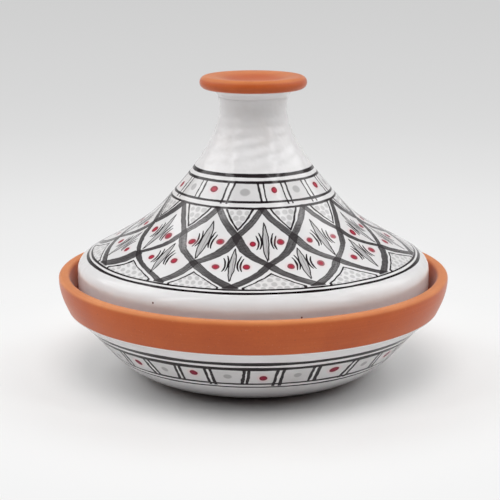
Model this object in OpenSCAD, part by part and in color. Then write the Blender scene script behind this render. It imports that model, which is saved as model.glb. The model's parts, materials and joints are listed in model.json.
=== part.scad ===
// Hand-thrown earthenware tagine: a shallow cooking dish and a conical lid that rests in its rim.
// Every piece is turned about the vertical axis. The origin is the middle of the flat foot.
// The clay surfaces are the master lines, and each coat of glaze lies on one of them.

/* [Dish] */
// Radius of the rim, the widest part of the pot
rim_r = 130; // [122:1:140]
// Height of the rim above the table
dish_h = 69.5; // [64:0.5:80]
// Thickness of the rim at its top
rim_w = 7.3; // [6:0.1:9]
// Rounding of the rim's two edges
rim_edge_r = 2; // [1:0.1:2.8]
// Height of the bare band under the rim
band_h = 21.8; // [18:0.1:24]
// How far the rim stands out from the foot of the band
band_flare = 5.6; // [4:0.1:8]
// Slope of the band at its lower edge, in degrees
band_slope = 64; // [58:1:72]
// Radius of the flat foot
foot_r = 60; // [52:1:66]
// Slope of the wall where it leaves the foot, in degrees
foot_slope = 10; // [6:1:14]
// How far the wall keeps that slope
foot_pull = 38; // [30:1:42]
// Slope of the wall where it reaches the band, in degrees
brow_slope = 35; // [30:1:42]
// How far the wall keeps that slope
brow_pull = 29; // [22:1:32]
// Thickness of the wall and the floor
wall_t = 8; // [6.5:0.1:9.5]

/* [Gallery] */
// Depth of the ledge that carries the lid, below the rim
gallery_depth = 16; // [13:0.5:18]
// Rounding of the corner at the back of the ledge
gallery_fillet = 2; // [1:0.1:2.4]
// Rounding of the ledge's front edge
lip_edge_r = 1.5; // [0.8:0.1:2.5]
// How far the ledge reaches in past the lid's wall
seat_lap = 1.5; // [1:0.1:3]
// Width over which the bowl's inside turns up to the ledge
lip_sweep = 14; // [10:1:18]

/* [Lid] */
// Height of the lid's upright wall
lid_wall_h = 18.4; // [15:0.1:22]
// Thickness of the lid's clay
lid_t = 6; // [5:0.1:7]
// Rounding of the shoulder
shoulder_r = 9; // [7.5:0.5:11]
// Slope of the cone above the shoulder, in degrees
cone_slope = 30; // [28:1:33]
// How far the cone keeps that slope
cone_pull = 42; // [34:1:46]
// Radius of the waist, where the cone turns up to the neck
waist_r = 52.5; // [48:0.5:57]
// Height of the waist above the lid's foot
waist_h = 69.8; // [66:0.2:76]
// Slope at the waist, in degrees
waist_slope = 51; // [47:1:55]
// How far the waist's slope reaches down the cone
waist_pull_down = 27; // [22:1:30]
// How far the waist's slope reaches up the neck
waist_pull_up = 10; // [6:1:16]
// Radius of the neck where it is narrowest
neck_r = 21.8; // [20:0.2:25]
// How far the narrowest place lies below the knob
neck_flare_h = 7.2; // [5:0.1:10]
// How far the neck stays upright below the narrowest place
neck_pull = 22; // [16:1:28]
// Radius of the neck under the knob
neck_top_r = 23; // [21:0.2:25]
// How far the neck leans out where it meets the knob, in degrees
neck_top_lean = 15; // [8:1:25]
// Height of the neck under the knob, above the lid's foot
neck_top_h = 132.2; // [124:0.2:140]
// Thickness of the clay that closes the neck
neck_cap_t = 7; // [5:0.5:9]
// Rounding of the lid's foot
lid_foot_edge_r = 1.2; // [0.6:0.1:2]

/* [Throwing rings] */
// Height of the rings that the fingers leave round the neck
ring_h = 0.25; // [0:0.05:0.4]
// Distance from ring to ring
ring_pitch = 6.5; // [5:0.5:9]
// Height above the lid's foot where the rings begin
ring_from_h = 90; // [86:1:100]

/* [Knob] */
// Radius of the knob
knob_r = 35.3; // [32:0.1:39]
// Thickness of the knob's rounded lip
knob_lip_t = 8.2; // [7:0.1:9.4]
// Height of the middle of the lip above the neck
knob_lip_h = 9.3; // [8:0.1:11]
// Depth of the hollow in the knob's top
knob_dish_depth = 3.5; // [2:0.1:3.9]
// Slope of the knob's underside where it leaves the neck, in degrees
knob_slope = 52; // [44:1:60]

/* [Glaze] */
// Thickness of the fired glaze
glaze_t = 0.4; // [0.3:0.05:0.6]
// Width of the bare ring that is wiped clean round the foot, under the curve of the wall
foot_bare_w = 16; // [12:0.5:20]
// Height of the bare ring that is wiped clean round the lid's foot
lid_bare_h = 2.5; // [2:0.1:4]

/* [Fit] */
// Gap between the lid's wall and the rim, at the rim's top
rim_gap = 5.3; // [4.5:0.1:7]
// Gap between the lid's wall and the back of the ledge
seat_play = 2.4; // [2.2:0.1:3.5]
// Clearance between the lid's foot and the ledge
seat_gap = 0.3; // [0.2:0.05:0.5]

/* [Hidden] */

$fn = 120;
// Steps along a long curve, a short curve and a rounded edge
LONG = 28;
SHORT = 10;
EDGE = 5;
// Steps along the neck, enough for the rings to come out round
FINE = 56;
UP = 90;
LEVEL_IN = 180;

TERRACOTTA = [0.72, 0.33, 0.17];
GLAZE = [0.93, 0.92, 0.91];

// The dish's levels and radii
band_z = dish_h - band_h;
band_r = rim_r - band_flare;
rim_in_r = rim_r - rim_w;
ledge_z = dish_h - gallery_depth;

// The lid's radii follow from the rim that it drops into
lid_r = rim_in_r - rim_gap;
lid_clay_r = lid_r - glaze_t;
ledge_out_r = lid_r + seat_play;
ledge_in_r = lid_clay_r - lid_t - seat_lap;

// The lid's levels are counted from its foot
lid_foot_z = ledge_z + seat_gap;
shoulder_z = lid_foot_z + lid_wall_h;
waist_z = lid_foot_z + waist_h;
neck_top_z = lid_foot_z + neck_top_h;
neck_z = neck_top_z - neck_flare_h;
ring_from_z = lid_foot_z + ring_from_h;
knob_lip_z = neck_top_z + knob_lip_h;
knob_lip_r = knob_lip_t / 2;
knob_top_z = knob_lip_z + knob_lip_r;

// A unit step in the direction of an angle
function heading(angle) = [cos(angle), sin(angle)];

// A cubic curve that leaves one point at an angle and reaches another at an angle.
// The two pulls are the lengths of its handles.
function curve(start, start_angle, start_pull, finish, finish_angle, finish_pull, steps) =
    let (
        first = start + start_pull * heading(start_angle),
        second = finish - finish_pull * heading(finish_angle)
    )
    [
        for (i = [0:steps])
            let (t = i / steps, u = 1 - t)
            u * u * u * start + 3 * u * u * t * first + 3 * u * t * t * second + t * t * t * finish
    ];

// Points along an arc, from one angle to another
function arc(centre, radius, from, to, steps) =
    [for (i = [0:steps]) centre + radius * heading(from + (to - from) * i / steps)];

// Lines joined end to end, each without the point that it shares with the line before
function chain(lines) =
    [for (k = [0:len(lines) - 1]) for (i = [(k == 0 ? 0 : 1):len(lines[k]) - 1]) lines[k][i]];

// The same line moved sideways, to the left of the way that it runs
function beside(line, shift) =
    let (last = len(line) - 1)
    [
        for (i = [0:last])
            let (along = line[min(i + 1, last)] - line[max(i - 1, 0)])
            line[i] + shift * [-along.y, along.x] / norm(along)
    ];

function backwards(line) = [for (i = [len(line) - 1:-1:0]) line[i]];

// A coat of glaze: the strip between a clay line and the same line moved out of the clay
module coat(line, shift) {
    rotate_extrude()
        polygon(concat(line, backwards(beside(line, shift))));
}

// Outside of the dish, from the foot's edge up to the band
dish_line = curve([foot_r, 0], foot_slope, foot_pull, [band_r, band_z], brow_slope, brow_pull, LONG);

// Outside of the band, from its lower edge up to the rounding of the rim
band_line = curve(
    [band_r, band_z], band_slope, band_h / 3,
    [rim_r, dish_h - rim_edge_r], UP, band_h / 3,
    SHORT
);

// Top of the rim, rounded at both edges
rim_line = concat(
    arc([rim_r - rim_edge_r, dish_h - rim_edge_r], rim_edge_r, 0, UP, EDGE),
    arc([rim_in_r + rim_edge_r, dish_h - rim_edge_r], rim_edge_r, UP, LEVEL_IN, EDGE)
);

// The ledge, from its rounded back corner to its rounded front edge
ledge_line = concat(
    arc([ledge_out_r - gallery_fillet, ledge_z + gallery_fillet], gallery_fillet, 0, -UP, EDGE),
    arc([ledge_in_r + lip_edge_r, ledge_z - lip_edge_r], lip_edge_r, UP, LEVEL_IN, EDGE)
);

// Inside of the bowl, from the floor up to the ledge: it follows the outside at the wall's
// thickness, and then turns up to the ledge's front edge
bowl_low_line = [for (p = beside(dish_line, wall_t)) if (p.x < ledge_in_r - lip_sweep) p];
bowl_end = len(bowl_low_line) - 1;
bowl_turn = bowl_low_line[bowl_end];
bowl_step = bowl_turn - bowl_low_line[bowl_end - 1];
bowl_slope = atan2(bowl_step.y, bowl_step.x);
lip_foot = [ledge_in_r, ledge_z - lip_edge_r];
bowl_line = concat(
    [[0, wall_t]],
    chain([
        bowl_low_line,
        curve(bowl_turn, bowl_slope, lip_sweep, lip_foot, UP, lip_sweep / 2, SHORT),
    ])
);

// Outside of the lid, from the rounding of its foot up to the knob
shoulder_line = arc([lid_clay_r - shoulder_r, shoulder_z], shoulder_r, 0, UP - cone_slope, SHORT);
shoulder_top = shoulder_line[SHORT];
cone_line = curve(
    shoulder_top, LEVEL_IN - cone_slope, cone_pull,
    [waist_r, waist_z], LEVEL_IN - waist_slope, waist_pull_down,
    LONG
);
neck_line = curve(
    [waist_r, waist_z], LEVEL_IN - waist_slope, waist_pull_up,
    [neck_r, neck_z], UP, neck_pull,
    FINE
);
neck_top_line = curve(
    [neck_r, neck_z], UP, neck_flare_h / 3,
    [neck_top_r, neck_top_z], UP - neck_top_lean, neck_flare_h / 3,
    SHORT
);
lid_smooth_line = chain([shoulder_line, cone_line, neck_line, neck_top_line]);

// The rings swell out of the neck and die away at both ends
function ring_swell(z) =
    z < ring_from_z ? 0
    : ring_h * sin(180 * (z - ring_from_z) / (neck_top_z - ring_from_z))
        * sin(360 * (z - ring_from_z) / ring_pitch);
lid_line = concat(
    [[lid_clay_r, lid_foot_z + lid_bare_h]],
    [for (p = lid_smooth_line) p + [ring_swell(p.y), 0]]
);

// Inside of the lid: the clay's thickness in from the outside, closed by a dome in the neck
lid_bore_line = beside(lid_smooth_line, lid_t);
cap_z = neck_top_z - neck_cap_t;
cap_h = neck_r - lid_t;
lid_hollow_line = [for (p = lid_bore_line) if (p.y < cap_z - cap_h) p];
bore_end = lid_hollow_line[len(lid_hollow_line) - 1];
lid_cap_line = curve(bore_end, UP, cap_h / 2, [0, cap_z], LEVEL_IN, cap_h / 2, SHORT);

// The lid's foot, rounded at both edges
lid_foot_line = concat(
    arc(
        [lid_clay_r - lid_t + lid_foot_edge_r, lid_foot_z + lid_foot_edge_r],
        lid_foot_edge_r, LEVEL_IN, LEVEL_IN + UP, EDGE
    ),
    arc([lid_clay_r - lid_foot_edge_r, lid_foot_z + lid_foot_edge_r], lid_foot_edge_r, -UP, 0, EDGE)
);

// The knob: its underside, its rounded lip and the shallow hollow in its top
knob_under_line = curve(
    [neck_top_r, neck_top_z], knob_slope, knob_lip_t / 2,
    [knob_r - knob_lip_r, knob_lip_z - knob_lip_r], 0, knob_lip_t / 2,
    SHORT
);
knob_lip_line = arc([knob_r - knob_lip_r, knob_lip_z], knob_lip_r, -UP, UP, LONG / 2);
knob_top_line = curve(
    [knob_r - knob_lip_r, knob_top_z], LEVEL_IN, knob_lip_t,
    [0, knob_top_z - knob_dish_depth], LEVEL_IN, knob_r / 2,
    LONG / 2
);

// The fired clay of the dish, left bare at the foot, the band, the rim and the ledge
module dish_clay() {
    color(TERRACOTTA)
    rotate_extrude()
        polygon(concat(
            [[0, 0]],
            chain([dish_line, band_line]),
            rim_line,
            ledge_line,
            backwards(bowl_line)
        ));
}

// The white coat outside the dish, from the bare ring at the foot up to the band
module dish_outer_glaze() {
    color(GLAZE)
    coat([for (p = dish_line) if (p.x > foot_r + foot_bare_w) p], -glaze_t);
}

// The white coat inside the bowl, up to the ledge's front edge
module dish_inner_glaze() {
    color(GLAZE)
    coat(bowl_line, glaze_t);
}

// The fired clay of the lid, bare inside and at its foot
module lid_clay() {
    color(TERRACOTTA)
    rotate_extrude()
        polygon(concat(
            lid_foot_line,
            lid_line,
            [[0, neck_top_z]],
            backwards(lid_cap_line),
            backwards(lid_hollow_line)
        ));
}

// The white coat outside the lid, from the bare ring at its foot up to the knob
module lid_outer_glaze() {
    color(GLAZE)
    coat(lid_line, -glaze_t);
}

// The bare knob, luted to the top of the neck
module lid_knob() {
    color(TERRACOTTA)
    rotate_extrude()
        polygon(concat(
            [[0, neck_top_z]],
            chain([knob_under_line, knob_lip_line, knob_top_line])
        ));
}

dish_clay();
dish_outer_glaze();
dish_inner_glaze();
lid_clay();
lid_outer_glaze();
lid_knob();
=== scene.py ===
# %% [markdown]
# # A hand-painted tagine
# A tagine is a North African cooking pot in two parts: a shallow dish, and a tall conical lid that
# drops into the dish's rim. Both are thrown on a wheel, so every form here is a line carried
# round the upright axis. The rim, the inside of the lid and the knob are bare terracotta. The
# rest has a white glaze, painted with a brush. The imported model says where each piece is, and
# we dress it piece by piece.

import json

import bpy
import numpy as np
from mathutils import Vector
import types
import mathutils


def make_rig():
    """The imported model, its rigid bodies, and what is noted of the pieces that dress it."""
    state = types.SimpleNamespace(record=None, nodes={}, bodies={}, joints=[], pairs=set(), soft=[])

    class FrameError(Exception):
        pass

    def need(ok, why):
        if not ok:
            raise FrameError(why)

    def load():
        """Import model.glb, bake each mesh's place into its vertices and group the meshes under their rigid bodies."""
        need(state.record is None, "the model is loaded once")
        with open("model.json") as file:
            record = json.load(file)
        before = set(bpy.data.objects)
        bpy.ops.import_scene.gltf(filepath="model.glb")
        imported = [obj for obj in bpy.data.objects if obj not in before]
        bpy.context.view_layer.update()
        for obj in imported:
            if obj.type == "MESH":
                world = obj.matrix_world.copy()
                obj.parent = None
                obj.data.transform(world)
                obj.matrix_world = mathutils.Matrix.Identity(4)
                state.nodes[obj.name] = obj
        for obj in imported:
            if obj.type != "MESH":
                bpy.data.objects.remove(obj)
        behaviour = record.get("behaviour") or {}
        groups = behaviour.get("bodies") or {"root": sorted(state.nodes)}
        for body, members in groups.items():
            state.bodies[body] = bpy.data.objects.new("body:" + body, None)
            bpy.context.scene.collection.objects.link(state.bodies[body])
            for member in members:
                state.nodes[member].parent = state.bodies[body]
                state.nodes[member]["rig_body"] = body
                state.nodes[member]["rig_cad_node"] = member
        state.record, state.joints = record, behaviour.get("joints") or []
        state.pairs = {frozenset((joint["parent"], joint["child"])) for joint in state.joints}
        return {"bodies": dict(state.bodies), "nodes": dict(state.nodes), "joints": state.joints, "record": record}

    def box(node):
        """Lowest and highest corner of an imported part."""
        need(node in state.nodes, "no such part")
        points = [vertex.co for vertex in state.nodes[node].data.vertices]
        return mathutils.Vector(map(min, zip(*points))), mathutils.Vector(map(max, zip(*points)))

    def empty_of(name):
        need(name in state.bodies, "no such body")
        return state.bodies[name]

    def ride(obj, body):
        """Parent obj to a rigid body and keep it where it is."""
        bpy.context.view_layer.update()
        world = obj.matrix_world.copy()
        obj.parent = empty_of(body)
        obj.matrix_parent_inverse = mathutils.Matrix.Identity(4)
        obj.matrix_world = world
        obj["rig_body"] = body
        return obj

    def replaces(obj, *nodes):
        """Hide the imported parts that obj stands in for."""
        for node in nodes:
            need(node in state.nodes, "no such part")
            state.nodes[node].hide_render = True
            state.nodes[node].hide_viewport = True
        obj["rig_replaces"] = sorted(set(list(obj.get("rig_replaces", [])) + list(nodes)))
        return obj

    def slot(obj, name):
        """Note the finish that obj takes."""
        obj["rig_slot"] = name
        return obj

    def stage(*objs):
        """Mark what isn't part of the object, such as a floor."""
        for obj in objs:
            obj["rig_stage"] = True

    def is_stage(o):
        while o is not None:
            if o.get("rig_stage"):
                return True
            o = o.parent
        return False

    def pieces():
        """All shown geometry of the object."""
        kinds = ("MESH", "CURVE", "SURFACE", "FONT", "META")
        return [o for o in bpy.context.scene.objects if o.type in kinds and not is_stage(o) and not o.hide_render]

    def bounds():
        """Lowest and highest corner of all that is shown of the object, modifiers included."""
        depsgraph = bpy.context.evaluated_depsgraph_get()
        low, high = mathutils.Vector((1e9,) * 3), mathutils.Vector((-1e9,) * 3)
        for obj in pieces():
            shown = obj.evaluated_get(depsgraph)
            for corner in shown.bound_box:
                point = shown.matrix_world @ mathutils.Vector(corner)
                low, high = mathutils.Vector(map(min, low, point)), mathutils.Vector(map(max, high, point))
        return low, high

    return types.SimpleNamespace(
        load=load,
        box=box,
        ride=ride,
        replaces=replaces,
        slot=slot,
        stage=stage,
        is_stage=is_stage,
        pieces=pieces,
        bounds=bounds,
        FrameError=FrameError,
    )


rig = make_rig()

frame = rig.load()
frame_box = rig.bounds()
print("pieces to dress:", ", ".join(sorted(frame["nodes"])))
print("size in mm:", [round(1000 * (high - low), 1) for low, high in zip(*frame_box)])

# %% [markdown]
# ## Sizes
# A potter measures in millimetres and Blender in metres, so the numbers below are millimetres
# and only the finished meshes are scaled. They are the sizes of the solids that we stand for:
# a piece that replaces a solid has to lie exactly where the solid is.

# %% Name the sizes
MM = 0.001

RIM_R, RIM_Z, RIM_W, RIM_EDGE = 130, 69.5, 7.3, 2
BAND_R, BAND_Z, BAND_SLOPE = 124.4, 47.7, 64
FOOT_R, FOOT_BARE, FOOT_SLOPE, BROW_SLOPE = 60, 16, 10, 35
WALL_T, GLAZE_T = 8, 0.4
LEDGE_Z, LEDGE_OUT_R, LEDGE_IN_R = 53.5, 119.8, 109.5
LEDGE_CORNER, LEDGE_LIP = 2, 1.5

LID_R, LID_T, LID_FOOT_Z, SHOULDER_Z, SHOULDER_R = 117.0, 6, 53.8, 72.2, 9
LID_EDGE, LID_BARE, CAP_T = 1.2, 2.5, 7
CONE_SLOPE, WAIST_SLOPE = 30, 51
WAIST = (52.5, 123.6)
NECK, NECK_TOP = (21.8, 178.8), (23.0, 186.0)
KNOB_R, KNOB_LIP_R, KNOB_LIP_Z, KNOB_HOLLOW = 35.3, 4.1, 195.3, 3.5
print("lid stands", round(LID_FOOT_Z - LEDGE_Z, 2), "mm clear of its ledge")

# %% [markdown]
# ## Lines
# A thrown form is drawn as half of its cut face: a line of (radius, height) points. We only need
# straight runs, arcs, and one cubic curve that leaves and arrives at chosen slopes. That curve is
# how a potter's rib moves: it starts along one slope and is pulled over into the other.


# %% Draw lines
def heading(angle):
    """A unit step towards an angle in degrees: its cosine outwards and its sine upwards."""
    return np.array([np.cos(np.radians(angle)), np.sin(np.radians(angle))])


def curve(start, start_angle, start_pull, finish, finish_angle, finish_pull, steps=60):
    """The cubic whose handles are start plus a pull along its angle, and finish minus one."""
    t = np.linspace(0, 1, steps + 1)[:, None]
    first = start + start_pull * heading(start_angle)
    second = finish - finish_pull * heading(finish_angle)
    return (
        (1 - t) ** 3 * np.array(start) + 3 * (1 - t) ** 2 * t * first
        + 3 * (1 - t) * t**2 * second + t**3 * np.array(finish)
    )


def arc(centre, radius, begin, end, steps=12):
    """The centre plus the radius times a heading that turns evenly from begin to end."""
    angle = np.radians(np.linspace(begin, end, steps + 1))
    return np.array(centre) + radius * np.column_stack([np.cos(angle), np.sin(angle)])


def chain(*lines):
    """Lines joined end to end, with points that fall on the one before left out."""
    line = np.vstack(lines)
    moved = np.linalg.norm(np.diff(line, axis=0), axis=1) > 1e-6
    return line[np.concatenate([[True], moved])]


def reach(line):
    """How far along the line each of its points is: the running sum of its steps."""
    steps = np.linalg.norm(np.diff(line, axis=0), axis=1)
    return np.concatenate([[0], np.cumsum(steps)])


def evenly(line, spacing):
    """The same line with its points the same distance apart, at most the spacing."""
    far = reach(line)
    at = np.linspace(0, far[-1], int(np.ceil(far[-1] / spacing)) + 1)
    return np.column_stack([np.interp(at, far, line[:, 0]), np.interp(at, far, line[:, 1])])


def beside(line, shift):
    """Each point moved by the shift, to the left of the way that the line runs there."""
    along = np.gradient(line, axis=0)
    left = np.column_stack([-along[:, 1], along[:, 0]])
    shift = np.broadcast_to(shift, len(line))[:, None]
    return line + shift * left / np.linalg.norm(left, axis=1, keepdims=True)


# %% [markdown]
# ## The dish
# The wall leaves the foot almost flat, as a bowl that was trimmed upside down does, then rises
# and steps out into the upright band of the rim. Inside the rim a ledge carries the lid. The
# lines run outwards along the bottom, up the outside and back in, so that the clay always lies
# to their left and the faces made from them look outwards.

# %% Draw the dish
dish_wall = curve((FOOT_R, 0), FOOT_SLOPE, 38, (BAND_R, BAND_Z), BROW_SLOPE, 29, 90)
rim_band = curve(
    (BAND_R, BAND_Z), BAND_SLOPE, 7.27, (RIM_R, RIM_Z - RIM_EDGE), 90, 7.27, 30
)
rim_in_r = RIM_R - RIM_W
rim_top = chain(
    arc((RIM_R - RIM_EDGE, RIM_Z - RIM_EDGE), RIM_EDGE, 0, 90),
    arc((rim_in_r + RIM_EDGE, RIM_Z - RIM_EDGE), RIM_EDGE, 90, 180),
)
ledge = chain(
    [(rim_in_r, RIM_Z - RIM_EDGE), (LEDGE_OUT_R, LEDGE_Z + LEDGE_CORNER)],
    arc((LEDGE_OUT_R - LEDGE_CORNER, LEDGE_Z + LEDGE_CORNER), LEDGE_CORNER, 0, -90, 8),
    arc((LEDGE_IN_R + LEDGE_LIP, LEDGE_Z - LEDGE_LIP), LEDGE_LIP, 90, 180, 8),
)

LIP_SWEEP = 14
bowl_low = beside(dish_wall, WALL_T)
bowl_low = bowl_low[bowl_low[:, 0] < LEDGE_IN_R - LIP_SWEEP]
bowl_step = bowl_low[-1] - bowl_low[-2]
bowl_slope = np.degrees(np.arctan2(bowl_step[1], bowl_step[0]))
bowl = chain(
    [(0, WALL_T), (20, WALL_T), (40, WALL_T)],
    bowl_low,
    curve(
        bowl_low[-1], bowl_slope, LIP_SWEEP,
        (LEDGE_IN_R, LEDGE_Z - LEDGE_LIP), 90, LIP_SWEEP / 2, 24,
    ),
)
dish_outline = chain(
    evenly(np.array([(0.0, 0.0), (FOOT_R, 0)]), 1.5), evenly(dish_wall, 1.5),
    evenly(rim_band, 0.8), rim_top, ledge, evenly(bowl, 1.2)[::-1],
)
print("dish outline:", len(dish_outline), "points")

# %% [markdown]
# ## The lid and its knob
# The lid is a short upright wall, a rounded shoulder, a cone that steepens at the waist, and a
# neck. The clay is of one thickness, so its inside is the same line moved inwards. A dome closes
# the neck, and the knob is a thick disc with a rounded lip and a shallow hollow on top. Two more
# points close to the knob's lower corner keep the smooth shading from smearing round it.

# %% Draw the lid and the knob
shoulder = arc((LID_R - SHOULDER_R, SHOULDER_Z), SHOULDER_R, 0, 90 - CONE_SLOPE)
cone = curve(shoulder[-1], 180 - CONE_SLOPE, 42, WAIST, 180 - WAIST_SLOPE, 27, 90)
neck = curve(WAIST, 180 - WAIST_SLOPE, 10, NECK, 90, 22, 90)
neck_top = curve(NECK, 90, 2.4, NECK_TOP, 75, 2.4, 16)
lid_line = chain(shoulder, cone, neck, neck_top)
lid_skin = evenly(chain([(LID_R, LID_FOOT_Z)], lid_line), 0.9)

cap_z, cap_h = NECK_TOP[1] - CAP_T, NECK[0] - LID_T
lid_bore = beside(lid_line, LID_T)
lid_bore = lid_bore[lid_bore[:, 1] < cap_z - cap_h]
lid_cap = curve(lid_bore[-1], 90, cap_h / 2, (0, cap_z), 180, cap_h / 2, 24)
edge_z = LID_FOOT_Z + LID_EDGE
lid_inside = chain([(LID_R - LID_T, edge_z)], lid_bore, lid_cap)
lid_foot = chain(
    arc((LID_R - LID_T + LID_EDGE, edge_z), LID_EDGE, 180, 270, 6),
    arc((LID_R - LID_EDGE, edge_z), LID_EDGE, -90, 0, 6),
)
lid_outline = chain(
    evenly(lid_inside, 1.4)[::-1], lid_foot,
    evenly(chain([(LID_R, edge_z)], lid_line), 1.4),
    [(10, NECK_TOP[1]), (0, NECK_TOP[1])],
)

knob_under = curve(
    NECK_TOP, 70, KNOB_LIP_R, (KNOB_R - KNOB_LIP_R, KNOB_LIP_Z - KNOB_LIP_R), 0, KNOB_LIP_R, 16
)
knob_lip = arc((KNOB_R - KNOB_LIP_R, KNOB_LIP_Z), KNOB_LIP_R, -90, 90, 36)
knob_top_z = KNOB_LIP_Z + KNOB_LIP_R
knob_hollow = curve(
    (KNOB_R - KNOB_LIP_R, knob_top_z), 180, 8.2, (0, knob_top_z - KNOB_HOLLOW), 180, KNOB_R / 2, 40
)
inside_corner = NECK_TOP - np.array([0.1, 0])
past_corner = NECK_TOP + 0.03 * (knob_under[1] - NECK_TOP)
knob_outline = chain(
    [(0, NECK_TOP[1]), inside_corner], [NECK_TOP, past_corner], knob_under[1:], knob_lip,
    evenly(knob_hollow, 0.6),
)
print("lid skin is", round(reach(lid_skin)[-1], 1), "mm from foot to knob")

# %% [markdown]
# ## Turning a line into a surface
# The turning wheel is a grid: its rows are the points of a line and its columns are the places
# round the pot. Each piece also gets its own UV map, because the painter's pattern follows the
# skin: U is the share of a full turn, and V is the distance up the skin in metres. The seam of
# that map is at the back. Where a line starts or ends on the axis, its row is one single point.

# %% Turn a line into a piece
COLUMNS = 360
turn = np.arange(COLUMNS) / COLUMNS
azimuth = 2 * np.pi * (turn - 0.5)


def wheel(line):
    """The line's radii and heights, each repeated in every column of the grid."""
    return np.repeat(line[:, :1], COLUMNS, axis=1), np.repeat(line[:, 1:], COLUMNS, axis=1)


def fan(edge_row, pole_row, upward):
    """Triangles from a ring of points to the axis, and the columns of their three corners."""
    column = np.arange(COLUMNS)
    right = (column + 1) % COLUMNS
    near, far, u = column, right, [column, column + 1, column + 0.5]
    if not upward:
        near, far, u = right, column, [column + 1, column, column + 0.5]
    pole = np.full(COLUMNS, pole_row * COLUMNS)
    corners = [edge_row * COLUMNS + near, edge_row * COLUMNS + far, pole]
    return np.column_stack(corners), np.column_stack(u) / COLUMNS


def piece(name, radius, height, skin, closed=False):
    """A mesh whose points are (radius sin azimuth, -radius cos azimuth, height), joined into
    squares along rows and columns, with triangles round a point on the axis."""
    rows = len(radius)
    points = np.stack([radius * np.sin(azimuth), -radius * np.cos(azimuth), height], axis=-1)
    on_axis = [not closed and radius[0].max() == 0, not closed and radius[-1].max() == 0]
    row = np.arange(on_axis[0], rows - on_axis[1] - (not closed))[:, None]
    above, column = (row + 1) % rows, np.arange(COLUMNS)[None, :]
    right = (column + 1) % COLUMNS
    corners = np.broadcast_arrays(
        row * COLUMNS + column, row * COLUMNS + right,
        above * COLUMNS + right, above * COLUMNS + column,
    )
    squares = np.stack(corners, axis=-1).reshape(-1, 4)
    u = np.stack([column, column + 1, column + 1, column], axis=-1) / COLUMNS
    v = np.stack([skin[row], skin[row], skin[above], skin[above]], axis=-1)
    maps = [np.stack(np.broadcast_arrays(u, v), axis=-1).reshape(-1, 2)]
    faces, sizes = [squares.ravel()], [np.full(len(squares), 4)]
    for here, pole, edge in ((on_axis[0], 0, 1), (on_axis[1], rows - 1, rows - 2)):
        if here:
            triangles, u = fan(edge, pole, pole > 0)
            v = np.broadcast_to([skin[edge], skin[edge], skin[pole]], u.shape)
            maps.append(np.stack([u, v], axis=-1).reshape(-1, 2))
            faces.append(triangles.ravel())
            sizes.append(np.full(COLUMNS, 3))
    used, flat = np.unique(np.concatenate(faces), return_inverse=True)
    sizes = np.concatenate(sizes)

    mesh = bpy.data.meshes.new(name)
    mesh.vertices.add(len(used))
    mesh.vertices.foreach_set("co", (MM * points.reshape(-1, 3)[used]).ravel())
    mesh.loops.add(len(flat))
    mesh.loops.foreach_set("vertex_index", flat.ravel().astype(np.int32))
    mesh.polygons.add(len(sizes))
    mesh.polygons.foreach_set("loop_start", (np.cumsum(sizes) - sizes).astype(np.int32))
    mesh.update(calc_edges=True)
    mesh.polygons.foreach_set("use_smooth", np.ones(len(sizes), bool))
    mesh.uv_layers.new(name="skin").data.foreach_set("uv", np.vstack(maps).ravel())
    made = bpy.data.objects.new(name, mesh)
    bpy.context.scene.collection.objects.link(made)
    print(name, len(used), "points,", len(sizes), "faces")
    return made


# %% [markdown]
# ## The potter's hand
# Nothing thrown is perfectly round. The dish and the lid are each a touch oval, and always
# inwards, so that they stay inside their sizes. The fingers leave level rings under the knob and
# slanting ridges lower on the neck, a spiral in the floor of the bowl, and rings inside the lid.
# All of them are real shape, a few tenths of a millimetre deep, and the clay and its coat of
# glaze share them, so the one never pokes through the other. The knob has an oval of its own,
# but starts with the lid's, so that the two meet.


# %% Shape by hand
LID_OVAL, DISH_OVAL, KNOB_OVAL = (0.002, 70), (0.002, -40), (0.004, 160)
RIDGES_FROM_Z = 143.8


def ease(x, low, high):
    """Rises smoothly from 0 at low to 1 at high: 3t squared minus 2t cubed."""
    t = np.clip((x - low) / (high - low), 0, 1)
    return t * t * (3 - 2 * t)


def oval(radius, squeeze, towards):
    """The radius less a share of itself that swings twice in a turn, and is never negative."""
    return radius * (1 - squeeze * (1 + np.cos(2 * azimuth - np.radians(towards))) / 2)


def neck_ridges(height):
    """Level rings near the top, and below them six ridges that climb to the right."""
    share = np.clip((height - RIDGES_FROM_Z) / (NECK_TOP[1] - RIDGES_FROM_Z), 0, 1)
    level = 0.22 * np.sin(np.pi * share) * np.sin(2 * np.pi * (height - RIDGES_FROM_Z) / 6.5)
    climb = np.sin(2 * np.pi * height / 7.2 - 6 * azimuth + 0.9 * np.sin(2 * azimuth + 1))
    patchy = 0.65 + 0.35 * np.sin(3 * azimuth + height / 6)
    slanting = 0.32 * climb * patchy * ease(height, 132, 144)
    high = ease(height, 158, 172)
    return high * level + (1 - high) * slanting


def shaped_lid(radius, height):
    """A point of the lid's outside, made oval and ridged."""
    return oval(radius + neck_ridges(height), *LID_OVAL), height


def shaped_dish(radius, height):
    """A point of the dish, made oval. The bowl's floor also carries the finger's spiral."""
    near = ease(radius, 4, 12) * (1 - ease(radius, 38, 60))
    inside = (height > WALL_T - 1) & (radius < 60)
    spiral = 0.3 * near * np.cos(2 * np.pi * radius / 8.5 - azimuth)
    return oval(radius, *DISH_OVAL), height + np.where(inside, spiral, 0)


# %% [markdown]
# ## Clay pieces
# First the bare clay: the dish, the lid and the knob. The underside of the dish shows the rings
# of the trimming tool, cut upwards into the foot so that it still stands flat on its edge.

# %% Make the clay pieces
radius, height = wheel(dish_outline)
trimmed = (height == 0) & (radius < 56)
height = height + np.where(trimmed, 0.12 * (1 + np.cos(2 * np.pi * radius / 2.6 - azimuth)), 0)
radius, height = shaped_dish(radius, height)
dish_clay = piece("dish_thrown_clay", radius, height, MM * reach(dish_outline))

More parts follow.
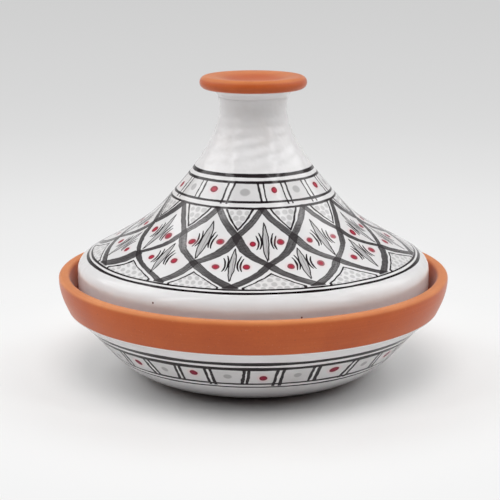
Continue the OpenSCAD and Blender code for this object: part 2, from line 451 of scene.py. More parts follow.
radius, height = wheel(lid_outline)
foot_row = int(np.argmin(np.abs(lid_outline - lid_foot[0]).sum(axis=1)))
inner = (np.arange(len(lid_outline)) < foot_row)[:, None] & (height < 160)
rings = 0.35 * np.cos(2 * np.pi * height / 8 - azimuth)
rings = rings * ease(height, 62, 74) * (1 - ease(height, 150, 160))
radius = radius + np.where(inner, rings, 0)
outer = (np.arange(len(lid_outline)) > foot_row)[:, None] & (radius > 15)
radius = np.where(outer, radius + neck_ridges(height), radius)
lid_clay = piece("lid_thrown_clay", oval(radius, *LID_OVAL), height, MM * reach(lid_outline))

radius, height = wheel(knob_outline)
up_knob = ease(height, NECK_TOP[1], KNOB_LIP_Z)
knob_radius = oval(radius, *LID_OVAL) * (1 - up_knob) + oval(radius, *KNOB_OVAL) * up_knob
knob = piece("lid_turned_knob", knob_radius, height, MM * reach(knob_outline))

# %% [markdown]
# ## Coats of glaze
# The glaze is poured over the clay as a skin 0.4 mm thick. It is a closed strip of its own: the
# outer face runs up and the inner face comes back down on the clay. Where the maker wiped the
# glaze away, the edge thins out and is never quite straight, so the rows next to it slide up and
# down a little with the place round the pot.


# %% Pour the coats
def coat(name, line, bottom_taper, top_taper, shape):
    """The strip between a clay line and the same line moved out by the glaze's thickness,
    which grows from nothing over the taper at either edge."""
    far = reach(line)
    thick = GLAZE_T * np.sqrt(ease(far, -0.2, bottom_taper) * ease(far[-1] - far, -0.2, top_taper))
    under = np.append(np.arange(len(line) - 1, 0, -4), 0)
    radius, height = wheel(np.vstack([beside(line, -thick), line[under]]))
    skin = np.concatenate([far, far[under]])
    wander = 0.25 * np.sin(3 * azimuth + 1) + 0.2 * np.sin(8 * azimuth)
    wander = wander + 0.12 * np.sin(19 * azimuth)
    slid = skin[:, None] + wander * (1 - ease(skin, 0, 6))[:, None]
    for axis, grid in enumerate((radius, height)):
        grid += np.interp(slid, far, line[:, axis]) - np.interp(skin, far, line[:, axis])[:, None]
    return piece(name, *shape(radius, height), MM * skin, closed=True)


lid_bare = lid_skin[:, 1] < LID_FOOT_Z + LID_BARE
lid_coat = coat("lid_painted_glaze", lid_skin[~lid_bare], 1.5, 8.0, shaped_lid)
dish_run = evenly(dish_wall, 0.8)
dish_bare = dish_run[:, 0] < FOOT_R + FOOT_BARE
dish_coat = coat("dish_painted_glaze", dish_run[~dish_bare], 1.5, 1.0, shaped_dish)

bowl_run = evenly(bowl, 1.0)
bowl_far = reach(bowl_run)
thick = GLAZE_T * np.sqrt(ease(bowl_far[-1] - bowl_far, -0.2, 1.5))
strip = np.vstack([bowl_run, beside(bowl_run, thick)[::-1]])
strip[-1, 0] = 0
bowl_skin = MM * np.concatenate([bowl_far, bowl_far[::-1]])
bowl_coat = piece("dish_inner_glaze_coat", *shaped_dish(*wheel(strip)), bowl_skin)

# %% [markdown]
# ## Standing in for the solids
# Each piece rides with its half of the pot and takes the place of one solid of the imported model.
# The dish, the lid and the knob are clay, and each coat lies on one of them. The printed numbers
# are how far each piece's box stands inside the box of its solid: a few tenths of a millimetre.

# %% Compare the pieces with the solids
STANDS_FOR = {
    "dish_clay": dish_clay,
    "dish_outer_glaze": dish_coat,
    "dish_inner_glaze": bowl_coat,
    "lid_clay": lid_clay,
    "lid_outer_glaze": lid_coat,
    "lid_knob": knob,
}
for node, made in STANDS_FOR.items():
    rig.ride(made, node.split("_")[0])
    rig.replaces(made, node)
    points = np.empty(3 * len(made.data.vertices))
    made.data.vertices.foreach_get("co", points)
    points = points.reshape(-1, 3)
    low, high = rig.box(node)
    inset = 1000 * np.array([points.min(axis=0) - low, points.max(axis=0) - high])
    print(node, "low and high corner:", np.round(inset, 2).tolist())

# %% [markdown]
# ## Writing a material as a formula
# A painted pattern is a formula: how far is this point from the middle of the brush stroke? In
# Blender each plus and times is a Math node, and hundreds of them are hard to place by hand. The
# small class below stands for one number that differs from point to point. Adding or multiplying
# two of them adds the node, so the material can be written as plain sums.


# %% Make fields
class Field:
    """A number worked out at each point of a surface: the output of a shader node."""

    def __init__(self, socket):
        self.socket = socket

    def __add__(self, other):
        return calculate("ADD", self, other)

    def __radd__(self, other):
        return calculate("ADD", self, other)

    def __sub__(self, other):
        return calculate("SUBTRACT", self, other)

    def __rsub__(self, other):
        return calculate("SUBTRACT", other, self)

    def __mul__(self, other):
        return calculate("MULTIPLY", self, other)

    def __rmul__(self, other):
        return calculate("MULTIPLY", self, other)

    def __truediv__(self, other):
        return calculate("DIVIDE", self, other)

    def __abs__(self):
        return calculate("ABSOLUTE", self)

    def __round__(self):
        return calculate("ROUND", self)


def add_node(tree, kind, inputs, **settings):
    """One shader node, with its inputs joined to fields or set to plain values."""
    node = tree.nodes.new("ShaderNode" + kind)
    for name, value in settings.items():
        setattr(node, name, value)
    for key, value in inputs.items():
        if isinstance(value, Field):
            tree.links.new(value.socket, node.inputs[key])
        else:
            node.inputs[key].default_value = value
    return node


def calculate(operation, *terms):
    tree = next(term.socket.id_data for term in terms if isinstance(term, Field))
    return Field(add_node(tree, "Math", dict(enumerate(terms)), operation=operation).outputs[0])


def fade(field, start, end):
    """0 where the field is at its start, 1 at its end, and a smooth step between."""
    tree = field.socket.id_data
    inputs = {0: field, 1: start, 2: end}
    return Field(add_node(tree, "MapRange", inputs, interpolation_type="SMOOTHSTEP").outputs[0])


def inside(distance, half_width, blur):
    """1 where the distance is less than the half width, 0 outside, with a blurred edge."""
    return fade(distance - half_width, blur, -blur)


def from_middle(x, y):
    """How far a point lies from the middle: the square root of x squared plus y squared."""
    return calculate("SQRT", x * x + y * y)


def above(field, level, blur):
    return fade(field, level - blur, level + blur)


def below(field, level, blur):
    return fade(field, level + blur, level - blur)


def vector(tree, x, y, z=0.0):
    return Field(add_node(tree, "CombineXYZ", {0: x, 1: y, 2: z}).outputs[0])


def split(field):
    """The three numbers of a vector or colour, as fields."""
    return [Field(s) for s in add_node(field.socket.id_data, "SeparateXYZ", {0: field}).outputs]


def noise(at, scale, detail=2.0, colour=False):
    """Cloudy noise round 0, between about -0.5 and 0.5, or three such numbers."""
    inputs = {"Vector": at, "Scale": scale, "Detail": detail}
    node = add_node(at.socket.id_data, "TexNoise", inputs)
    if not colour:
        return Field(node.outputs["Fac"]) - 0.5
    return [part - 0.5 for part in split(Field(node.outputs["Color"]))]


def chance(at):
    """Three numbers between -0.5 and 0.5, drawn anew for each whole number that it is given."""
    node = add_node(at.socket.id_data, "TexWhiteNoise", {"Vector": at})
    return [part - 0.5 for part in split(Field(node.outputs["Color"]))]


def drawn(field, points, straight=False):
    """A field read off a curve that is drawn through points of (x, y)."""
    (left, right), (low, high) = [(min(axis), max(axis)) for axis in zip(*points)]
    node = add_node(field.socket.id_data, "FloatCurve", {"Value": (field - left) / (right - left)})
    line = node.mapping.curves[0].points
    while len(line) < len(points):
        line.new(0.5, 0.5)
    for dot, (x, y) in zip(line, sorted(points)):
        dot.location = (x - left) / (right - left), (y - low) / (high - low)
        dot.handle_type = "VECTOR" if straight else "AUTO"
    node.mapping.update()
    return Field(node.outputs[0]) * (high - low) + low


def mix(factor, first, second):
    """The first colour where the factor is 0, the second where it is 1."""
    tree = next(f.socket.id_data for f in (factor, first, second) if isinstance(f, Field))
    node = tree.nodes.new("ShaderNodeMix")
    node.data_type = "RGBA"
    for key, value in ((0, factor), (6, first), (7, second)):
        if isinstance(value, Field):
            tree.links.new(value.socket, node.inputs[key])
        elif key:
            node.inputs[key].default_value = (*value, 1)
        else:
            node.inputs[key].default_value = value
    return Field(node.outputs[2])


def new_material(name):
    """An empty material and its shader, with the object's own coordinates."""
    material = bpy.data.materials.new(name)
    material.use_nodes = True
    tree = material.node_tree
    shader = tree.nodes["Principled BSDF"]
    place = Field(add_node(tree, "TexCoord", {}).outputs["Object"])
    return material, tree, shader, place


def plug(shader, name, field):
    field.socket.id_data.links.new(field.socket, shader.inputs[name])


def bumped(shader, height, distance):
    """Bend the light as if the surface stood proud by the height times the distance."""
    tree = height.socket.id_data
    inputs = {"Height": height, "Distance": distance, "Strength": 0.5}
    node = add_node(tree, "Bump", inputs)
    tree.links.new(node.outputs["Normal"], shader.inputs["Normal"])


# %% [markdown]
# ## Bare terracotta
# Fired red clay is orange, a little cloudy, and speckled with grit. The wheel leaves fine level
# lines on it. A smooth, burnished clay also has a satin sheen: seen at a low angle it turns pale.
# We build it from noise: broad clouds for the colour, tiny dots for the grit, and noise that is
# squeezed into rings for the wheel's lines. Round the foot the clay is darkened as painted shade,
# where the bowl hangs over the floor. The rim's top edge and the top of the knob are made paler,
# for the wear of hands and as a painted highlight.

# %% Mix the terracotta
CLAY_DARK, CLAY_LIGHT = (0.445, 0.072, 0.009), (0.57, 0.118, 0.021)
# Of the two colours below, the dark one is painted shade round the foot, and the pale one is wear and a painted
# highlight on the rim and the knob.
CLAY_FOOT_SHADE, CLAY_WEAR_AND_HIGHLIGHT = (0.085, 0.06, 0.052), (0.78, 0.33, 0.12)


def clay_look(place):
    """The clay's colour, its roughness, and the height of its grain and wheel lines."""
    x, y, z = split(place)
    radius = from_middle(x, y)
    round_pot = calculate("ARCTAN2", x, y) * 0.8
    wheel_place = vector(place.socket.id_data, radius * 900, z * 900, round_pot)
    rings = noise(wheel_place, 1, 3)
    clouds = noise(place, 22, 4)
    grain = noise(place, 600, 2)
    pits = noise(place, 1100, 0)
    shade = clouds * 1.1 + rings * 0.35 + grain * 0.35 + 0.5
    colour = mix(fade(shade, 0, 1), CLAY_DARK, CLAY_LIGHT)
    colour = mix(fade(pits, 0.27, 0.36) * 0.15, colour, (0.8, 0.45, 0.25))
    colour = mix(fade(pits, -0.27, -0.36) * 0.4, colour, (0.2, 0.045, 0.02))
    # Painted shade: near the floor and inside the foot's edge the clay is darkened.
    painted_foot_shade = fade(z * 1000 + clouds * 6, 9, 5) * fade(radius * 1000, 52, 60)
    colour = mix(painted_foot_shade * 0.85, colour, CLAY_FOOT_SHADE)
    # Painted highlight, with some wear: the rim's top edge and the knob's top are made paler.
    rim_top = fade(z * 1000, 66.5, 69.4) * fade(radius * 1000, 121.5, 124.5)
    knob_top = fade(z * 1000, 196.8, 198.8)
    colour = mix((rim_top * 0.55 + knob_top * 0.4) * (1 + clouds * 1.5), colour, CLAY_WEAR_AND_HIGHLIGHT)
    return colour, 0.5 + grain * 0.2 + clouds * 0.15, rings * 0.6 + grain * 0.4


def satin(shader):
    """The soft sheen of clay that was smoothed while it was damp."""
    shader.inputs["Specular IOR Level"].default_value = 0.4
    shader.inputs["Sheen Weight"].default_value = 0.3
    shader.inputs["Sheen Roughness"].default_value = 0.3


def terracotta():
    material, _, shader, place = new_material("bare_terracotta")
    colour, roughness, height = clay_look(place)
    plug(shader, "Base Color", colour)
    plug(shader, "Roughness", roughness)
    satin(shader)
    bumped(shader, height, 0.0002)
    return material


# %% [markdown]
# ## White glaze
# The glaze is a thick white glass. It is glossy but not a mirror, because it settled over the
# marks of the fingers. It is never one white: it is warmer where it is thin. Towards the foot it
# is darkened to grey as painted shade, where the bowl curves under. The lid was dipped up to its
# knob, so the glaze ends under the knob's lip, and that piece needs both finishes: one number,
# dry or not, blends the one into the other.

# %% Mix the white glaze
GLAZE_WHITE, GLAZE_THIN = (0.79, 0.78, 0.785), (0.745, 0.72, 0.715)
# This grey is painted shade for the glaze towards the foot.
GLAZE_FOOT_SHADE = (0.47, 0.45, 0.46)


def white_glaze(place):
    """The colour of the bare white glaze."""
    clouds = noise(place, 30, 3)
    return mix(fade(clouds, -0.05, 0.3), GLAZE_WHITE, GLAZE_THIN)


def finish_glaze(shader, place, colour, gloss=0.4, lumps=1):
    """Gloss, and the slight unevenness of poured glaze over the marks of the fingers."""
    plug(shader, "Base Color", colour)
    plug(shader, "Roughness", 0.17 + noise(place, 60, 2) * 0.12)
    shader.inputs["Specular IOR Level"].default_value = gloss
    bumped(shader, noise(place, 90, 2) * lumps + noise(place, 400, 1) * 0.12, 0.0006)


def plain_glaze():
    material, _, shader, place = new_material("plain_white_glaze")
    finish_glaze(shader, place, white_glaze(place))
    return material


def dipped_knob():
    """Terracotta down to the lip of the knob, and white glaze on the underside below it."""
    material, _, shader, place = new_material("dipped_knob")
    edge = split(place)[2] * 1000 + noise(place, 120, 2) * 0.5
    dry = above(edge, KNOB_LIP_Z - KNOB_LIP_R + 0.25, 0.12)
    colour, roughness, height = clay_look(place)
    plug(shader, "Base Color", mix(dry, white_glaze(place), colour))
    plug(shader, "Roughness", (roughness - 0.2) * dry + 0.2)
    satin(shader)
    bumped(shader, height * dry, 0.0002)
    return material


# %% [markdown]
# ## Brushwork
# The painter thins one black pigment with water. Thick, it makes the fine black lines; thin, it
# makes broad grey strokes that darken where they cross. So the ink is kept as one number: how
# much of the white still shows. Each layer multiplies it down. Only the red dots are a second
# colour. The hand wobbles, so the pattern is read at a place that noise has pushed a little aside.

# %% Hold the brush
INK, BLEED = (0.012, 0.007, 0.009), (0.9, 0.42, 0.45)
RED, DARK_RED, CRIMSON = (0.46, 0.026, 0.055), (0.2, 0.012, 0.028), (0.26, 0.014, 0.04)


class Skin:
    """Where a point lies on a painted skin: its azimuth in degrees, its distance up the skin
    and its radius, both in millimetres, each pushed aside by an unsteady hand."""

    def __init__(self, tree, place):
        uv = Field(add_node(tree, "UVMap", {}, uv_map="skin").outputs[0])
        u, v, _ = split(uv)
        x, y, _ = split(place)
        slow = noise(place, 26, 1, colour=True)
        quick = noise(place, 210, 1, colour=True)
        self.tree = tree
        self.radius = from_middle(x, y) * 1000
        self.degree = self.radius * (np.pi / 180)
        self.true_azimuth = (u - 0.5) * 360
        self.azimuth = self.true_azimuth + (slow[0] * 3.5 + quick[0] * 1.1) / self.degree
        self.up = v * 1000
        self.level = self.up + slow[1] * 0.9 + quick[1] * 0.25
        self.sketched = self.up + slow[1] * 2.4 + quick[1] * 0.9
        self.slow, self.quick = slow[2], quick[2]


def unpainted(tree):
    """The painter's start: all of the white shows, everywhere."""
    shows = Field(add_node(tree, "Value", {}).outputs[0])
    shows.socket.default_value = 1
    return shows


def layer(shows, cover, left):
    """The white that still shows after a layer of ink leaves its share where it covers."""
    return shows * (1 - cover * (1 - left))


def level_line(skin, shows, height, width):
    """A line brushed while the pot turns: its width swells and thins."""
    half = width / 2 + skin.slow * width * 0.5
    return layer(shows, inside(abs(skin.level - height), half, 0.18), 0.005)


def red_dot(colour, distance, size, strength=1.0, red=RED):
    """A dab of red with a darker rim, which bleeds pink into the glaze."""
    colour = mix(fade(distance, size * 2, size) * 0.25 * strength, colour, BLEED)
    colour = mix(inside(distance, size, 0.22) * strength, colour, DARK_RED)
    return mix(inside(distance, size * 0.62, 0.55) * strength, colour, red)


# %% [markdown]
# ## The lattice on the lid
# Twelve strokes start at the line under the neck and sweep down to the right, and twelve sweep
# down to the left. Between them are four rows: half diamonds on top, two rows of diamonds, and
# low triangles at the bottom. If q counts the strokes of one family, its strokes lie where q is a
# whole number, and the two counts together say which cell a point is in.

# %% Set out the lattice
STROKES, APEX = 12, 6
PITCH = 360 / STROKES
LID_BASE = 17.9
SWAY = [
    (15, 45), (19, 41.3), (24, 36.8), (29, 33), (34.5, 30), (38, 26.8), (42, 23.4), (46, 20.5),
    (50, 18.5), (54, 16.8), (58.6, 15), (70, 6.3), (79.5, 0),
]
SLIP = [
    (-180, 0), (-120, 3), (-90, -2), (-64, -4), (-36, -6), (-8, -1), (24, -1), (60, 1),
    (120, -3), (180, 0),
]
INK_LOAD = [
    (-180, 0.09), (-140, 0.15), (-115, 0.07), (-88, 0.11), (-66, 0.07), (-52, 0.05), (-40, 0.11),
    (-30, 0.13), (-18, 0.09), (-8, 0.07), (8, 0.075), (20, 0.11), (32, 0.15), (44, 0.08), (54, 0.055),
    (68, 0.06), (85, 0.1), (120, 0.07), (150, 0.14), (180, 0.09),
]


class Lattice:
    """The two families of strokes. Q is (azimuth - apex -+ sway) / pitch, and the distance from
    a stroke's middle is the part of q that is not whole, times the pitch, across the stroke."""

    def __init__(self, skin):
        self.skin = skin
        self.up = skin.sketched - LID_BASE
        held = calculate("MINIMUM", calculate("MAXIMUM", self.up, SWAY[0][0]), SWAY[-1][0])
        self.sway = drawn(held, SWAY, straight=True)
        self.slant = 0.57 + self.up * 0.0032
        self.azimuth = skin.azimuth + drawn(skin.true_azimuth, SLIP) * fade(self.up, 36, 15)
        self.right = self.family(1)
        self.left = self.family(-1)

    def family(self, lean):
        q = (self.azimuth - APEX - self.sway * lean) / PITCH
        number = round(q)
        across = (q - number) * self.skin.degree * self.slant * PITCH
        return calculate("FLOORED_MODULO", number, STROKES), across


def grey_strokes(lattice, shows):
    """Broad strokes of thin ink, each with its own load, streaked along its length. Where two
    of them cross, the ink is darker, but never as black as the fine lines."""
    skin, up = lattice.skin, lattice.up
    stretch = calculate("FLOOR", lattice.sway / 15.01)
    load = drawn(skin.true_azimuth, INK_LOAD)
    within = below(up, 80, 0.5) * above(up, 14, 0.6)
    skips = noise(vector(skin.tree, up * 1.3, skin.true_azimuth * 0.35), 1, 2) * 2.5
    wash = 1
    for lean, (number, across) in ((1, lattice.right), (-1, lattice.left)):
        luck = chance(vector(skin.tree, number, stretch, lean * 3.0))
        streaks = noise(vector(skin.tree, across * 1.8, up * 0.09, number * 5 + lean), 1, 3)
        half = 3.1 - up * 0.0125 + luck[0] * 1.1 + skin.slow * 1.6 + streaks * 0.6
        cover = inside(abs(across), half, 0.22) * within
        wet = fade(abs(across), half - 0.9, half - 0.1) * 0.55
        dry = calculate("MAXIMUM", 1.1 + streaks * 4 + skips, 0.25)
        left = load * (1 + luck[1] * 0.5) * dry * (1 - wet)
        wash = layer(wash, cover, left)
    return shows * (0.03 + wash * 0.97)


# %% [markdown]
# ## What fills the cells
# The half diamonds and the triangles have a fine inner outline and rows of pale grey dots. Each
# diamond holds a leaf with curved strokes beside it, and a red dot on either side. One formula
# draws both rows of diamonds: x is the distance from the middle of the cell, y the height in it,
# and a draw of chance for each cell tilts and shifts it.


# %% Fill the cells
def dots(tree, cell, x, y, pitch, row, size):
    """Round dots in rows, every other row moved along by half a pitch, each a little astray."""
    line = round(y / row)
    q = x / pitch + calculate("FLOORED_MODULO", line, 2) * 0.5
    number = round(q)
    luck = chance(vector(tree, number, line, cell + 9.0))
    side = (q - number) * pitch + luck[0] * 1.2
    away = calculate("SQRT", side * side + calculate("POWER", abs(y - line * row + luck[1] * 0.9), 2))
    return inside(away, size + luck[2] * 0.5, 0.4)


def nearest_cell(lattice, middle):
    """The number of the nearest cell, and how many degrees a point lies right of its middle."""
    q = (lattice.azimuth - middle) / PITCH
    number = round(q)
    return calculate("FLOORED_MODULO", number, STROKES), (q - number) * PITCH


def cell_outlines(lattice, shows):
    """The fine line inside the top and bottom cells, and the dots that it encloses. Its margin
    is the distance in from the strokes' middles, which meet at the tip of the cell."""
    skin, up = lattice.skin, lattice.up
    across = skin.degree * lattice.slant
    top_cell, top_off = nearest_cell(lattice, APEX - PITCH / 2)
    low_cell, low_off = nearest_cell(lattice, APEX)
    top = (PITCH / 2 - lattice.sway - abs(top_off)) * across - 3.3 - (up - 63.5) * 0.06
    low = (lattice.sway - PITCH - abs(low_off)) * across - 5.2
    rows = (
        (below(up, 79.3, 0.2), top, top_cell, top_off, up - 76, 4.4, 4.1, 1.8),
        (above(up, 13.3, 0.2), low, low_cell, low_off, up - 17.5, 5.2, 3.9, 1.75),
    )
    for height, margin, cell, off, y, pitch, row, size in rows:
        enclosed = height * above(margin, 0.8, 0.5)
        filled = dots(skin.tree, cell, off * skin.degree, y, pitch, row, size)
        shows = layer(shows, filled * enclosed, 0.72)
        shows = layer(shows, inside(abs(margin), 0.6 + skin.quick * 0.5, 0.15) * height, 0.02)
    return shows


def curved_stroke(x, y, start, bend, length, shows):
    """A fine stroke x = start + bend * (y / length)^2, tapering to both ends."""
    t = y / length
    t2 = t * t
    away = abs(x - start - t2 * bend)
    return layer(shows, inside(away, 0.66 - t2 * 0.3, 0.15) * below(t2, 1, 0.1), 0.01)


def leaves(lattice, shows):
    """A leaf |x| < width * (1 - t^2) in each diamond, its outlines and its side strokes. The
    diamonds of the lower row lie half a pitch further round and 19 mm further down."""
    skin = lattice.skin
    q = (skin.azimuth - APEX) / (PITCH / 2)
    number = round(q)
    odd = calculate("FLOORED_MODULO", number, 2)
    luck = chance(vector(skin.tree, calculate("FLOORED_MODULO", number, 2 * STROKES), 1.0, 4.0))
    y = lattice.up - 54.5 + odd * 19
    x = (q - number) * (PITCH / 2) * skin.degree - luck[0] * 1.2 - y * luck[1] * 0.16
    t = (y + 1.0) / (15.5 - odd * 1.5)
    width = (1 - t * t) * (2.2 + luck[2] * 0.8)
    grown = below(abs(t), 1.02, 0.03)
    shows = layer(shows, inside(abs(x), width, 0.3) * grown, 0.66)
    shows = layer(shows, inside(abs(abs(x + 0.25) - width), 0.4, 0.14) * grown, 0.03)
    vein = inside(abs(x + y * 0.03 - 0.2), 0.2, 0.14) * below(abs(t + 0.25), 0.72, 0.04)
    shows = layer(shows, vein, 0.45)
    side = abs(x + luck[2] * 0.5)
    shows = curved_stroke(side, y - 0.4, 3.0, 1.5, 6.6, shows)
    return curved_stroke(side, y + 0.9, 5.0, 1.3, 5.8, shows)


def cell_dots(lattice, colour, middle, aside, height):
    """Two red dots in each diamond of a row, either side of its middle."""
    skin = lattice.skin
    q = (skin.azimuth - middle) / PITCH
    number = round(q)
    offset = (q - number) * PITCH
    hand = calculate("SIGN", offset)
    luck = chance(vector(skin.tree, calculate("FLOORED_MODULO", number, STROKES), hand, height))
    x = (abs(offset) - aside) * skin.degree + luck[0] * 1.2
    y = lattice.up - height + luck[1] * 3.0
    away = from_middle(x, y)
    return red_dot(colour, away, 2.4 + luck[2] * 0.6, 0.88 + luck[0] * 0.24)


# %% [markdown]
# ## Bands of panels
# Under the neck and round the dish runs a band of panels: two level lines, pairs of upright
# lines that part it, and in each panel a dot, red and grey by turns. They were spaced by eye, so
# a curve drawn through listed points turns the azimuth into a count of panels that is a little uneven.

# %% Paint a band of panels
LID_PANELS = [
    (-185, -0.36), (-65, 5), (-45.5, 6), (-20, 7), (8, 8), (27, 9), (48, 10), (71, 11), (185, 16.09),
]
DISH_PANELS = [
    (-185, -11.33), (-50.2, 0), (-37.5, 1), (-26, 2), (-15, 3), (-2.5, 4), (9.2, 5), (21.2, 6),
    (35.5, 7), (47.8, 8), (185, 19.53),
]


def panel_band(skin, shows, spacing, count, low, high, gap, width, washes, size):
    """Pairs of upright lines, a wash and a grey dot in every other panel, and for the red
    dots of the others the distance from their middles and a mark of where they are."""
    q = drawn(skin.azimuth, spacing, straight=True)
    pitch = 360 / count
    number = round(q)
    luck = chance(vector(skin.tree, calculate("FLOORED_MODULO", number, count), 2.0, 7.0))
    y = skin.level - (low + high) / 2
    x = abs((q - number) * skin.degree * pitch + y * luck[0] * 0.3)
    end = low - calculate("MAXIMUM", luck[1] * 9 - 1, 0.0)
    band = above(skin.level, end, 0.2) * below(skin.level, high + 0.3, 0.2)
    pair = inside(abs(x - gap - luck[2] * 0.5), width / 2 + skin.quick * width * 0.4, 0.15)
    panel = calculate("FLOOR", q)
    grey = calculate("FLOORED_MODULO", panel, 2)
    wash = above(x, gap, 0.3) * above(skin.level, low, 0.2) * below(skin.level, high, 0.2)
    shows = layer(shows, wash, washes[0] + grey * (washes[1] - washes[0]) + skin.slow * 0.08)
    shows = layer(shows, pair * band, 0.03)
    luck = chance(vector(skin.tree, calculate("FLOORED_MODULO", panel, count), 5.0, 1.0))
    x = (q - panel - 0.5) * skin.degree * pitch + luck[0] * 1.2
    y = y + luck[1] * (high - low) * 0.2
    away = from_middle(x, y)
    shows = layer(shows, inside(away, size + 0.3, 0.6) * grey, 0.62)
    return shows, away, 1 - grey


# %% [markdown]
# ## The painted coats
# Now each painted skin is put together, layer by layer: the level lines, the band of panels, the
# cells and the broad strokes between them, and the red last of all. The ink only ever takes white
# away, so the order of its layers makes no difference. The lines of the lid are listed as the
# distance up the skin from the pattern's base and the width, those of the dish as the height and
# the width. A few pinholes, where a bubble burst in the kiln, show the clay beneath the glaze.

# %% Paint the lid and the dish
LID_LINES = {
    "over": (103, 2.9), "high": (98.2, 2.1), "low": (83.9, 1.8), "under": (79.5, 1.6),
    "inner edge": (13, 1.3), "outer edge": (9.9, 1.9),
}
DISH_LINES = {"under": (18.4, 1.7), "low": (21.3, 2.0), "high": (34.5, 3.6), "over": (39.0, 3.9)}
PINHOLES = [(-31.2, 73.4), (14.3, 68.0), (96, 70), (164, 64.5), (-131, 67)]


def pinholes(skin, place, colour):
    """Tiny dark pits at a few places on the lid's wall, where the clay shows."""
    z = split(place)[2] * 1000
    for degrees, level in PINHOLES:
        x = (skin.true_azimuth - degrees) * skin.degree
        y = z - level
        away = from_middle(x, y) + skin.quick * 0.3
        colour = mix(inside(away, 0.55, 0.2), colour, (0.16, 0.05, 0.04))
    return colour


def painted_lid():
    material, tree, shader, place = new_material("lid_painted_glaze")
    skin = Skin(tree, place)
    lattice = Lattice(skin)
    shows = unpainted(tree)
    for height, width in LID_LINES.values():
        shows = level_line(skin, shows, LID_BASE + height, width)
    low, high = LID_BASE + LID_LINES["low"][0], LID_BASE + LID_LINES["high"][0]
    band = (LID_PANELS, 16, low, high, 1.75, 1.2, (0.97, 0.89), 2.3)
    shows, away, red = panel_band(skin, shows, *band)
    shows = cell_outlines(lattice, shows)
    shows = grey_strokes(lattice, shows)
    shows = leaves(lattice, shows)
    colour = mix(shows, INK, pinholes(skin, place, white_glaze(place)))
    colour = cell_dots(lattice, colour, APEX, 7.1, 53.0)
    colour = cell_dots(lattice, colour, APEX - PITCH / 2, 6.3, 33.5)
    colour = red_dot(colour, away, 2.3, red)
    neck_lumps = fade(split(place)[2] * 1000, 124, 140) * 2 + 1
    finish_glaze(shader, place, colour, lumps=neck_lumps)
    return material


def painted_dish():
    material, tree, shader, place = new_material("dish_painted_glaze")
    skin = Skin(tree, place)
    shows = unpainted(tree)
    run = dish_run[~dish_bare]
    at = {name: np.interp(z, run[:, 1], reach(run)) for name, (z, _) in DISH_LINES.items()}
    for name, (_, width) in DISH_LINES.items():
        shows = level_line(skin, shows, at[name], width)
    band = (DISH_PANELS, 30, at["low"], at["high"], 1.75, 2.1, (0.88, 0.84), 2.1)
    shows, away, red = panel_band(skin, shows, *band)
    height = split(place)[2] * 1000
    # Painted shade: below 21 mm the glaze turns grey towards the foot.
    white = mix(fade(height, 21, 5), white_glaze(place), GLAZE_FOOT_SHADE)
    colour = mix(shows, INK, white)
    colour = red_dot(colour, away, 2.8, red, CRIMSON)
    finish_glaze(shader, place, colour, gloss=0.15)
    return material


clay_finish, plain_finish, knob_finish = terracotta(), plain_glaze(), dipped_knob()
lid_finish, dish_finish = painted_lid(), painted_dish()
for made, finish, slot in (
    (dish_clay, clay_finish, "bare_terracotta"),
    (lid_clay, clay_finish, "bare_terracotta"),
    (knob, knob_finish, "bare_terracotta"),
    (lid_coat, lid_finish, "painted_glaze"),
    (dish_coat, dish_finish, "painted_glaze"),
    (bowl_coat, plain_finish, "plain_glaze"),
):
    made.data.materials.append(finish)
    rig.slot(made, slot)
print("lid painting:", len(lid_finish.node_tree.nodes), "nodes")

# %% [markdown]
# ## The studio
# The pot stands on a pale floor without a horizon. Near the pot the floor is plain and takes its
# shadow. Further off it only has to look like a backdrop that grows a little darker, so there the
# camera sees a colour of its own, and the lamps don't have to light it. That glowing colour fades
# in from 0.1 m out, so it lightens the outer part of the shadow as painted light.

# %% Lay the floor
FLOOR_REACH = 9.0
FLOOR_TONE = [
    (0.0, 0.915), (0.22, 0.915), (0.34, 0.88), (0.6, 0.82), (0.9, 0.75), (1.4, 0.69),
    (2.0, 0.665), (3.6, 0.635), (FLOOR_REACH, 0.62),
]


def seen(tree):
    """1 for the rays that see the backdrop: from the camera, or mirrored, or through glass."""
    rays = add_node(tree, "LightPath", {}).outputs
    total = Field(rays["Is Camera Ray"]) + Field(rays["Is Glossy Ray"])
    return calculate("MINIMUM", total + Field(rays["Is Transmission Ray"]), 1)


corners = FLOOR_REACH * np.array([(-1, -1, 0), (1, -1, 0), (1, 1, 0), (-1, 1, 0)], float)
floor_mesh = bpy.data.meshes.new("floor")
floor_mesh.from_pydata(corners, [], [(0, 1, 2, 3)])
floor = bpy.data.objects.new("floor", floor_mesh)
bpy.context.scene.collection.objects.link(floor)
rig.stage(floor)

floor_material, tree, shader, place = new_material("pale_floor")
shader.inputs["Base Color"].default_value = (0.85, 0.85, 0.845, 1)
shader.inputs["Roughness"].default_value = 0.9
shader.inputs["Specular IOR Level"].default_value = 0.0
x, y, _ = split(place)
away = from_middle(x, y)
backdrop = add_node(tree, "Emission", {"Strength": drawn(away, FLOOR_TONE)})
# Painted light: from 0.1 m out, the glowing colour fades in over the outer part of the shadow.
blend = add_node(tree, "MixShader", {0: fade(away, 0.1, 0.26) * seen(tree)})
tree.links.new(shader.outputs[0], blend.inputs[1])
tree.links.new(backdrop.outputs[0], blend.inputs[2])
tree.links.new(blend.outputs[0], tree.nodes["Material Output"].inputs["Surface"])
floor_mesh.materials.append(floor_material)

# %% [markdown]
# ## Light
# The main lamp hangs high in front, so the cone is bright and the shadow stays close to the pot.
# One lamp behind and two pairs at the sides pick out the edges of the form, and two narrow strips
# draw the soft highlights on the neck. Glaze is a mirror as well as a white: the reflections of
# the main lamp, the one behind and those at the corners would veil the painting with haze, so
# they are left out, as a polarising filter does. Only the side lamps and the strips show in it.

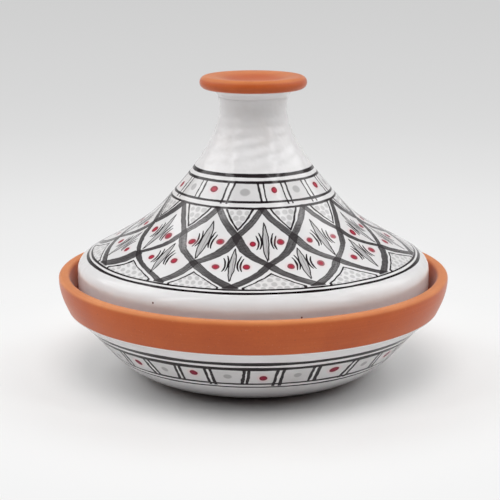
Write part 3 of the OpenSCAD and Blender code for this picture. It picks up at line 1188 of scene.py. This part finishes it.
# %% Hang the lamps
AIM = Vector((0, 0, 0.08))
LAMPS = {
    "main": ((0,), 65, 2.8, (1.6, 1.6), 36),
    "behind": ((180,), 45, 3.0, (3.0, 2.0), 22),
    "side": ((-105, 105), 38, 2.8, (2.0, 2.0), 27),
    "corner": ((-135, 135), 22, 3.2, (2.6, 2.4), 15),
    "strip": ((-60, 60), 40, 2.6, (0.3, 2.4), 12),
}
SEEN_IN_GLAZE = ("side", "strip")


def hang(name, azimuth, elevation, distance, size, power):
    """A soft rectangular lamp that points at the pot from a distance in metres."""
    light = bpy.data.lights.new(name, "AREA")
    light.shape, light.energy = "RECTANGLE", power
    light.size, light.size_y = size
    out, up = heading(elevation)
    ahead, right = heading(azimuth)
    made = bpy.data.objects.new(name, light)
    made.location = AIM + distance * Vector((out * right, -out * ahead, up))
    made.rotation_euler = (AIM - made.location).to_track_quat("-Z", "Y").to_euler()
    made.visible_camera = False
    made.visible_glossy = name in SEEN_IN_GLAZE
    bpy.context.scene.collection.objects.link(made)


for name, (places, *settings) in LAMPS.items():
    for place in places:
        hang(name, place, *settings)
print("lamps:", sum(len(places) for places, *_ in LAMPS.values()))

# %% [markdown]
# ## The room
# The world adds a trace of light from everywhere. To the camera, and in the glaze, it is the same
# pale grey as the end of the floor, and darker overhead, where a studio's ceiling is unlit.

# %% Fill the room
ROOM_LIGHT, WALL_GREY, CEILING_GREY = 0.03, 0.62, 0.12
world = bpy.data.worlds.new("room")
world.use_nodes = True
bpy.context.scene.world = world
tree = world.node_tree
height = split(Field(add_node(tree, "TexCoord", {}).outputs["Generated"]))[2]
grey = fade(height, 0.5, 0.0) * (WALL_GREY - CEILING_GREY) + CEILING_GREY
shown = seen(tree) * (grey - ROOM_LIGHT) + ROOM_LIGHT
tree.links.new(shown.socket, tree.nodes["Background"].inputs["Strength"])
tree.nodes["Background"].inputs["Color"].default_value = (1, 1, 1, 1)

# %% [markdown]
# ## The camera
# A long lens from a little above: the pot's rim shows as a thin ellipse, and the cone hides
# nothing of the lid's wall.

# %% Set the camera
LOOK_DOWN, FOCAL_LENGTH, SIDE_SHIFT = 13.44, 103.27, -0.0066
EYE = (0, -0.9368, 0.3062)
camera = bpy.data.cameras.new("camera")
camera.sensor_width, camera.lens, camera.shift_x = 36, FOCAL_LENGTH, SIDE_SHIFT
camera.clip_end = 50
eye = bpy.data.objects.new("camera", camera)
eye.location = EYE
eye.rotation_euler = (np.radians(90 - LOOK_DOWN), 0, 0)
bpy.context.scene.collection.objects.link(eye)
bpy.context.scene.camera = eye
bpy.context.scene.view_settings.view_transform = "Standard"

# %% [markdown]
# ## Write down the size
# The dressed pot may not be larger than the solids that it stands for, so both boxes are kept.

# %% Write both boxes and finish
shown_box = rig.bounds()
boxes = {"frame": [list(corner) for corner in frame_box], "shown": [list(corner) for corner in shown_box]}
with open("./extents.json", "w") as file:
    json.dump(boxes, file)
print({name: np.round(1000 * np.array(box), 1).tolist() for name, box in boxes.items()})
